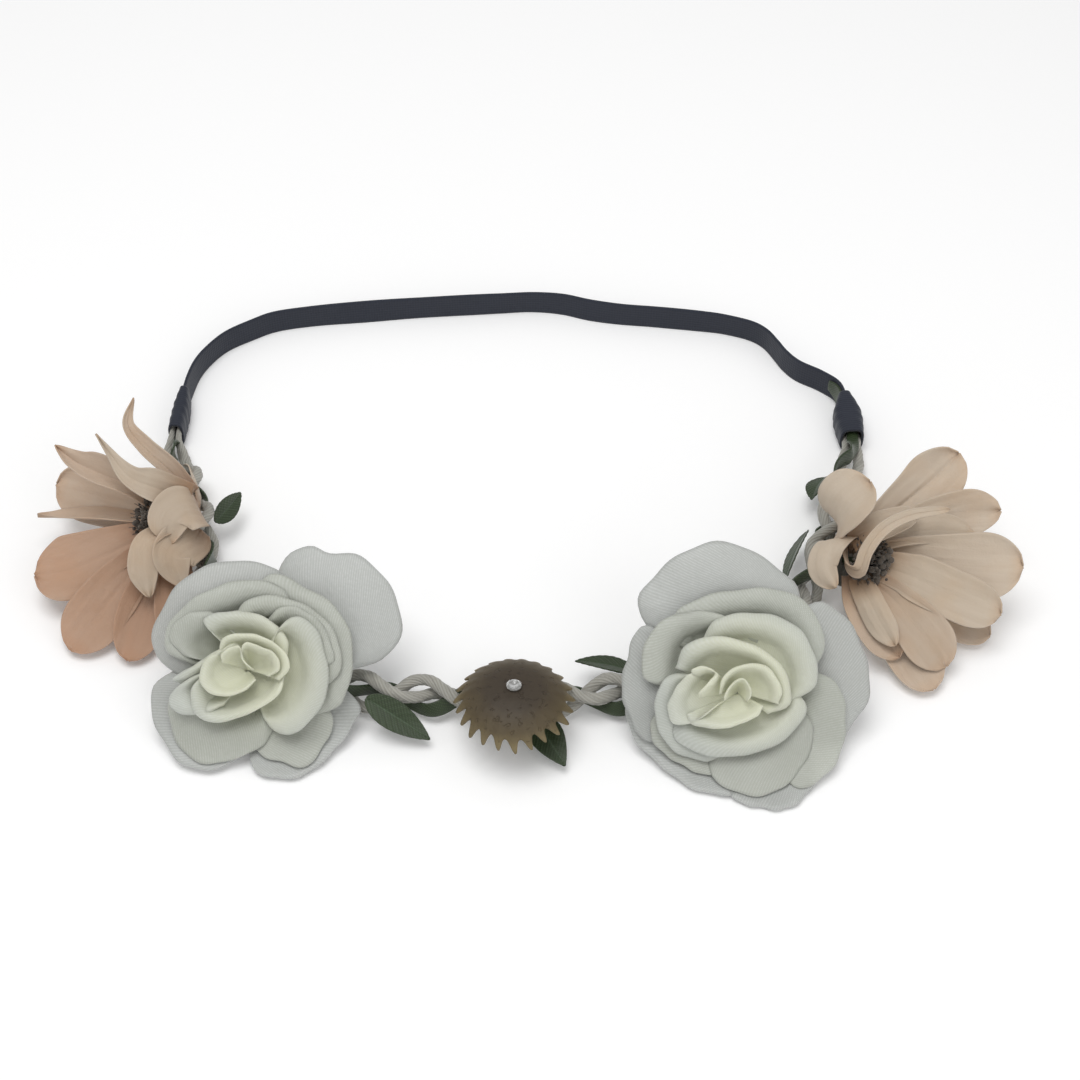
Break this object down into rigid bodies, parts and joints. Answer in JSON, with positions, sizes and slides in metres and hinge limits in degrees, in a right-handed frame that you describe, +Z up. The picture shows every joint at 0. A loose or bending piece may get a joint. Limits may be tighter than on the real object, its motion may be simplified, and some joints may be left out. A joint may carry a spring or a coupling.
{
  "type": "flower crown",
  "caption": "Elastic-backed headband: a plait of cord and leafy ribbon that carries fabric roses, open peach flowers and a serrated disc.",
  "frame": {"origin": "middle of the footprint of the crown as it lies flat, on the ground", "axes": "+X towards the wearer's flowers on the right as seen in front, -Y towards the plait, +Z up from the surface it lies on"},
  "size_m": [0.247, 0.182, 0.0513],
  "materials": {
    "elastic_navy": "matte woven",
    "cotton_cord": "twisted waxed cotton",
    "green_satin": "satin",
    "white_satin": "satin",
    "pale_heart_satin": "satin",
    "cream_petal": "soft matte",
    "peach_petal": "soft matte",
    "stamen_grey": "fuzzy",
    "felt": "felt",
    "hot_glue": "satin",
    "wire": "brushed",
    "horn_plastic": "gloss, part see-through",
    "clear_plastic": "gloss"
  },
  "bodies": {
    "garland": {"elastic_right": "elastic_navy", "elastic_left": "elastic_navy", "elastic_fold_right": "elastic_navy", "elastic_fold_left": "elastic_navy", "leaf_ribbon": "green_satin", "braid_cord_1": "cotton_cord", "braid_cord_2": "cotton_cord", "rose_left_glue_pad": "hot_glue", "rose_left_calyx": "felt", "rose_left_stem": "wire", "rose_left_outer_petals": "white_satin", "rose_left_middle_petals": "white_satin", "rose_left_inner_petals": "pale_heart_satin", "rose_left_bud": "pale_heart_satin", "rose_right_glue_pad": "hot_glue", "rose_right_calyx": "felt", "rose_right_stem": "wire", "rose_right_outer_petals": "white_satin", "rose_right_middle_petals": "white_satin", "rose_right_inner_petals": "pale_heart_satin", "rose_right_bud": "pale_heart_satin", "peach_left_glue_pad": "hot_glue", "peach_left_calyx": "felt", "peach_left_stem": "wire", "peach_left_outer_petals": "cream_petal", "peach_left_inner_petals": "peach_petal", "peach_left_centre": "stamen_grey", "peach_right_glue_pad": "hot_glue", "peach_right_calyx": "felt", "peach_right_stem": "wire", "peach_right_outer_petals": "cream_petal", "peach_right_inner_petals": "peach_petal", "peach_right_centre": "stamen_grey", "disc_pin": "clear_plastic", "disc_glue_pad": "hot_glue"},
    "elastic_back": {"elastic_back": "elastic_navy"},
    "disc": {"serrated_disc": "horn_plastic"},
    "leaf_1": {"leaf_1": "green_satin"},
    "leaf_2": {"leaf_2": "green_satin"},
    "leaf_3": {"leaf_3": "green_satin"},
    "leaf_4": {"leaf_4": "green_satin"},
    "leaf_5": {"leaf_5": "green_satin"},
    "leaf_6": {"leaf_6": "green_satin"},
    "leaf_7": {"leaf_7": "green_satin"},
    "leaf_8": {"leaf_8": "green_satin"}
  },
  "joints": [
    {"name": "elastic_stretch", "type": "slide", "parent": "garland", "child": "elastic_back", "axis": [0, 1, 0], "range_m": [0, 0.04], "stiffness_N_per_m": 100, "deforming": ["elastic_left", "elastic_right"]},
    {"name": "disc_turn", "type": "hinge", "parent": "garland", "child": "disc", "pos_m": [-0.00097, -0.07001, 0.019], "axis": [0, 0, 1], "continuous": true},
    {"name": "leaf_1_bend", "type": "hinge", "parent": "garland", "child": "leaf_1", "pos_m": [-0.03807, -0.06711, 0.0108], "axis": [-0.5297, -0.709, -0.4655], "range_deg": [-2, 40], "stiffness_Nm_per_rad": 0.0005},
    {"name": "leaf_2_bend", "type": "hinge", "parent": "garland", "child": "leaf_2", "pos_m": [0.00363, -0.06921, 0.0056], "axis": [-0.8376, -0.54, -0.0823], "range_deg": [-4, 16], "stiffness_Nm_per_rad": 0.0005},
    {"name": "leaf_3_bend", "type": "hinge", "parent": "garland", "child": "leaf_3", "pos_m": [0.03043, -0.05461, 0.005], "axis": [-0.0178, 0.937, -0.3489], "range_deg": [-10, 30], "stiffness_Nm_per_rad": 0.0005},
    {"name": "leaf_4_bend", "type": "hinge", "parent": "garland", "child": "leaf_4", "pos_m": [-0.08197, -0.00491, 0.0095], "axis": [0.7643, -0.2956, -0.5732], "range_deg": [-8, 35], "stiffness_Nm_per_rad": 0.0005},
    {"name": "leaf_5_bend", "type": "hinge", "parent": "garland", "child": "leaf_5", "pos_m": [0.08503, 0.01339, 0.0065], "axis": [-0.8285, 0.2336, -0.5089], "range_deg": [-8, 30], "stiffness_Nm_per_rad": 0.0005},
    {"name": "leaf_6_bend", "type": "hinge", "parent": "garland", "child": "leaf_6", "pos_m": [0.07823, -0.00741, 0.007], "axis": [-0.4802, 0.1283, -0.8677], "range_deg": [-3, 35], "stiffness_Nm_per_rad": 0.0005},
    {"name": "leaf_7_bend", "type": "hinge", "parent": "garland", "child": "leaf_7", "pos_m": [-0.06057, -0.04601, 0.0065], "axis": [0.845, -0.5348, 0], "range_deg": [-15, 35], "stiffness_Nm_per_rad": 0.0005},
    {"name": "leaf_8_bend", "type": "hinge", "parent": "garland", "child": "leaf_8", "pos_m": [0.05143, -0.05001, 0.0065], "axis": [0.9527, 0.304, 0], "range_deg": [-15, 35], "stiffness_Nm_per_rad": 0.0005}
  ]
}
